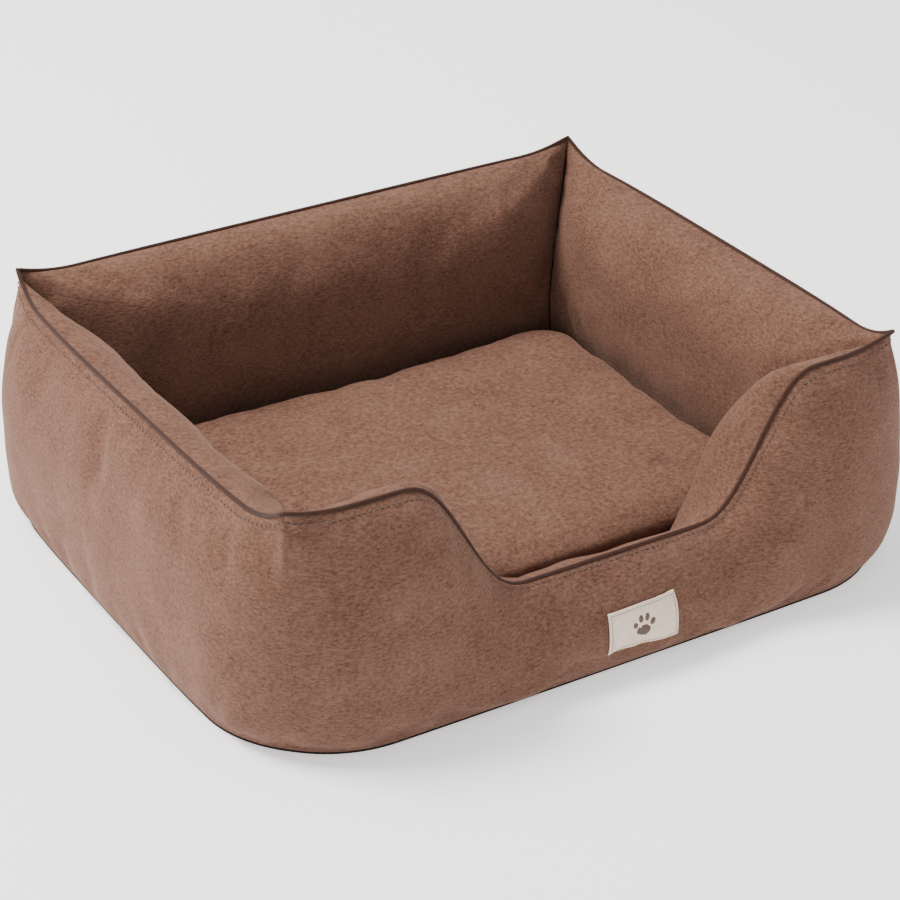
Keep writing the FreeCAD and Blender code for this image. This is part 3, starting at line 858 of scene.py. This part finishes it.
label_low, label_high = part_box("label_patch")
LABEL_MIDDLE = ((label_low[0] + label_high[0]) / 2, (label_low[2] + label_high[2]) / 2)
LABEL_SIZE = (label_high[0] - label_low[0], label_high[2] - label_low[2])
LABEL_LIFT_MM, LABEL_EDGE_LIFT_MM = 2.0, 1.3
across, upright = 24, 14      # cells along and up the label
points, faces = [], []
for i in range(across + 1):
    for k in range(upright + 1):
        x = LABEL_MIDDLE[0] + LABEL_SIZE[0] * (i / across - 0.5)
        z = LABEL_MIDDLE[1] + LABEL_SIZE[1] * (k / upright - 0.5)
        edge = min(i, across - i, k, upright - k)
        points.append(on_cover(x, z, LABEL_LIFT_MM if edge else LABEL_EDGE_LIFT_MM))
        if i < across and k < upright:
            a = i * (upright + 1) + k
            faces.append((a, a + upright + 1, a + upright + 2, a + 1))
label = new_piece("woven_label", points, faces, LABEL)
solid = label.modifiers.new("thickness", "SOLIDIFY")
solid.thickness = 0.8 * MM
solid.offset = -1
round_edge = label.modifiers.new("round", "BEVEL")
round_edge.width = 0.25 * MM
round_edge.segments = 2
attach(label, "bed_shell")
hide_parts("label_patch")

# %% [markdown]
# ## Stitching and paw mark
# The label is held by a border of small stitches. A plain paw print in satin stitch decorates it.
# Satin stitch stands up as a low dome, so each pad of the paw is one.

# %% Label stitching and paw mark
BORDER = 2.6 * MM
BORDER_STEPS = 16
STITCH_LIFT_MM = 2.15
half_x, half_z = LABEL_SIZE[0] / 2 - BORDER, LABEL_SIZE[1] / 2 - BORDER
border = []
corners = ((-1, -1), (1, -1), (1, 1), (-1, 1))
for (ax, az), (bx, bz) in zip(corners, corners[1:] + corners[:1]):
    for t in np.linspace(0, 1, BORDER_STEPS, endpoint=False):
        border.append(on_cover(LABEL_MIDDLE[0] + half_x * (ax + (bx - ax) * t),
                               LABEL_MIDDLE[1] + half_z * (az + (bz - az) * t), STITCH_LIFT_MM))
grown("label_stitches", BEADS, border, loop_edges(len(border)),
      {"Spacing": 2.6 * MM, "Bead Length": 1.9 * MM, "Bead Width": 0.6 * MM, "Bead Height": 0.6 * MM,
       "Material": THREAD}, "bed_shell")


DOME_RINGS, DOME_SIDES = 5, 20


def embroidered(name, spots):
    """Low domes of satin stitch: (x, z, half width, half height, turn in degrees), in mm."""
    points, faces = [], []
    for x, z, wide_mm, high_mm, turn in spots:
        cos, sin = math.cos(math.radians(turn)), math.sin(math.radians(turn))
        first = len(points)
        for ring in range(DOME_RINGS):
            size = math.cos(math.pi / 2 * ring / DOME_RINGS)
            for step in range(DOME_SIDES):
                angle = 2 * math.pi * step / DOME_SIDES
                u, v = wide_mm * size * math.cos(angle), high_mm * size * math.sin(angle)
                points.append(on_cover(LABEL_MIDDLE[0] + (x + u * cos - v * sin) * MM,
                                       LABEL_MIDDLE[1] + (z + u * sin + v * cos) * MM,
                                       1.9 + 0.5 * math.sin(math.pi / 2 * ring / DOME_RINGS)))
                if ring < DOME_RINGS - 1:
                    a = first + ring * DOME_SIDES + step
                    b = first + ring * DOME_SIDES + (step + 1) % DOME_SIDES
                    faces.append((a, b, b + DOME_SIDES, a + DOME_SIDES))
        top_ring = first + (DOME_RINGS - 1) * DOME_SIDES
        faces.append(tuple(top_ring + step for step in range(DOME_SIDES)))
        faces.append(tuple(first + step for step in reversed(range(DOME_SIDES))))
    return new_piece(name, points, faces, DARK_THREAD)


PAW = [(0, -4, 6.2, 4.8, 0), (-8.2, 1.8, 2.2, 3.2, 25), (-3.0, 6.2, 2.3, 3.4, 8),
       (3.0, 6.2, 2.3, 3.4, -8), (8.2, 1.8, 2.2, 3.2, -25)]
paw = embroidered("label_paw", PAW)
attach(paw, "bed_shell")

# %% [markdown]
# ## The seat cushion
# The cushion is a closed bag of the same suede, filled a little less than full, with a zip in its
# back edge. It starts as a rounded block whose grid has a row at the zip. A cloth simulation blows
# it up, and the seam that holds the zip stays put.

# %% Cushion form
seat_low, seat_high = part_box("cushion_top_cover")
foot_low, foot_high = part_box("cushion_bottom_cover")
ZIP_Z = (seat_low[2] + foot_high[2]) / 2
ZIP_HALF = 180 * MM
SLOT_HALF = 5 * MM
BACK_EDGE = 150 * MM          # past this the cushion's side is its back edge
SEAT_HALF = (seat_high[0], seat_high[1])
SEAT_CORNER = 30 * MM
LOWER_INSET = seat_high[1] - foot_high[1]
SEAT_CELL = 8 * MM
SIDE = [  # height, and how far inside the lower outline in mm
    (foot_low[2], 16), (foot_low[2] + 2.5 * MM, 8.5), (foot_low[2] + 7 * MM, 3.2),
    (foot_low[2] + 12 * MM, 0.8), (ZIP_Z - SLOT_HALF, 0.2), (ZIP_Z, 0), (ZIP_Z + SLOT_HALF, 0.2),
    (ZIP_Z + 10 * MM, -2.0), (ZIP_Z + 16 * MM, -5.6), (ZIP_Z + 22 * MM, -6.4),
    (ZIP_Z + 26.5 * MM, -2.5), (seat_high[2] - 2.0 * MM, 4.0), (seat_high[2] - 0.2 * MM, 13.0)]


def rounded(x, y, half_x, half_y, radius):
    """Where a point of a plain rectangle goes on one with round corners."""
    dx, dy = abs(x) - (half_x - radius), abs(y) - (half_y - radius)
    if dx > 0 and dy > 0:
        squeeze = max(dx, dy) / math.hypot(dx, dy)
        x = math.copysign(half_x - radius + dx * squeeze, x)
        y = math.copysign(half_y - radius + dy * squeeze, y)
    return x, y


# %% Levels of the cushion
nx = round(2 * SEAT_HALF[0] / SEAT_CELL)
ny = round(2 * SEAT_HALF[1] / SEAT_CELL)


def level(inset, z, crown):
    """A grid of points at one level."""
    half_x, half_y = SEAT_HALF[0] - LOWER_INSET - inset, SEAT_HALF[1] - LOWER_INSET - inset
    radius = max(SEAT_CORNER - inset, 12 * MM)
    points = []
    for i in range(nx + 1):
        for k in range(ny + 1):
            u, v = 2 * i / nx - 1, 2 * k / ny - 1
            x, y = rounded(u * half_x, v * half_y, half_x, half_y, radius)
            points.append((x, y, z + crown * (1 - u ** 4) * (1 - v ** 4)))
    return points


def at(i, k):
    """The number of a point in one level."""
    return i * (ny + 1) + k


# %% Points and faces of the cushion
rim = ([at(i, 0) for i in range(nx)] + [at(nx, k) for k in range(ny)]
       + [at(nx - i, ny) for i in range(nx)] + [at(0, ny - k) for k in range(ny)])
bottom = level(SIDE[0][1] * MM, SIDE[0][0], 0.0)
top = level(SIDE[-1][1] * MM, SIDE[-1][0], 2.0 * MM)
seat_points = list(bottom)
rings = [rim]
for z, inset in SIDE[1:-1]:
    here = level(inset * MM, z, 0.0)
    rings.append([len(seat_points) + n for n in range(len(rim))])
    seat_points += [here[index] for index in rim]
top_first = len(seat_points)
seat_points += top
rings.append([top_first + index for index in rim])
lower_faces = [(at(i, k), at(i, k + 1), at(i + 1, k + 1), at(i + 1, k))
               for i in range(nx) for k in range(ny)]
upper_faces = [tuple(top_first + n for n in (at(i, k), at(i + 1, k), at(i + 1, k + 1), at(i, k + 1)))
               for i in range(nx) for k in range(ny)]
ZIP_RING = [n for n, (z, _) in enumerate(SIDE) if z == ZIP_Z][0]
slot_faces = []
for r, (below, above) in enumerate(zip(rings, rings[1:])):
    for n in range(len(rim)):
        m = (n + 1) % len(rim)
        face = (below[n], below[m], above[m], above[n])
        middle = np.mean([seat_points[v] for v in face], axis=0)
        in_slot = r in (ZIP_RING - 1, ZIP_RING) and abs(middle[0]) < ZIP_HALF and middle[1] > BACK_EDGE
        (slot_faces if in_slot else lower_faces if r < ZIP_RING else upper_faces).append(face)
print("cushion", len(seat_points), "points,", len(slot_faces), "faces left out for the zip")

# %% Cushion simulation
ZIP_MARGIN = 15 * MM
SIDE_HOLD, BOTTOM_HOLD = 0.6, 0.8
SEAT_PRESSURE, SEAT_REACH = 3.0, 6 * MM
pins = {}
for r in range(ZIP_RING - 1, ZIP_RING + 2):
    for index in rings[r]:
        across, back = seat_points[index][:2]
        on_zip = back > BACK_EDGE and abs(across) < ZIP_HALF + ZIP_MARGIN
        pins[index] = SEAM_HOLD if on_zip or r == ZIP_RING else SIDE_HOLD
for i in range(nx + 1):
    for k in range(ny + 1):
        pins[at(i, k)] = BOTTOM_HOLD
seat = inflate("cushion_cloth", seat_points, lower_faces + upper_faces + slot_faces, pins, {},
               SEAT_PRESSURE, SEAT_REACH)

# %% Lumps and front edge of the cushion
FRONT_SWELL = 11 * MM
FRONT_FROM, FRONT_EASE = 120 * MM, 50 * MM
SWELL_FROM, SWELL_RISE = 30 * MM, 20 * MM
SWELL_HALF, SWELL_FADE = 200 * MM, 60 * MM
rise = lumps(seat, 95, 3.2, 12.7) + lumps(seat, 34, 0.9, 4.4)
on_top = np.clip((seat[:, 2] - (seat_high[2] - 12 * MM)) / (8 * MM), 0, 1)
seat[:, 2] += rise * on_top
seat[:, 2] = np.maximum(seat[:, 2], foot_low[2] + 0.4 * MM)
# the upper front edge swells into the room that the scooped wall's low, round top leaves
forward = (np.clip((-seat[:, 1] - FRONT_FROM) / FRONT_EASE, 0, 1)
           * np.clip((seat[:, 2] - SWELL_FROM) / SWELL_RISE, 0, 1)
           * np.clip((SWELL_HALF - np.abs(seat[:, 0])) / SWELL_FADE, 0, 1))
seat[:, 1] -= FRONT_SWELL * forward

# %% Cushion covers
for name, faces, node in (("cushion_top_suede", upper_faces, "cushion_top_cover"),
                          ("cushion_bottom_suede", lower_faces, "cushion_bottom_cover")):
    stands_for = [node, "cushion_fill"] if node == "cushion_top_cover" else [node]
    cover = cloth_piece(name, *compact(seat, faces), 1.0, SUEDE, "seat_cushion", "suede_cushion",
                        stands_for)
    print(name, len(cover.data.polygons), "faces before smoothing")

# %% [markdown]
# ## The zip
# The zip's two nylon coils are rows of teeth, and the tapes that carry them are sewn inside the
# cover's slot. The tapes, stops, slider and pull keep the shapes that the frame has for them.

# %% Zip
for side in ("upper", "lower"):
    node = f"zip_coil_{side}"
    low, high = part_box(node)
    middle = [(a + b) / 2 for a, b in zip(low, high)]
    radius = (high[1] - low[1]) / 2
    ends = [(low[0] + radius, middle[1], middle[2]), (high[0] - radius, middle[1], middle[2])]
    teeth = grown(f"zip_teeth_{side}", BEADS, ends, [(0, 1)],
                  {"Spacing": 1.4 * MM, "Bead Length": 1.1 * MM, "Bead Width": 2 * radius,
                   "Bead Height": 2 * radius, "Material": NYLON}, "seat_cushion")
    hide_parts(node)

for node, finish in (("zip_tape_upper", ZIP_TAPE), ("zip_tape_lower", ZIP_TAPE),
                     ("zip_stop_right", ALLOY), ("zip_stop_left", ALLOY), ("zip_slider", ALLOY),
                     ("zip_pull", ALLOY)):
    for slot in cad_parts[node].material_slots:
        slot.material = finish
print("zip finished, teeth in two rows")
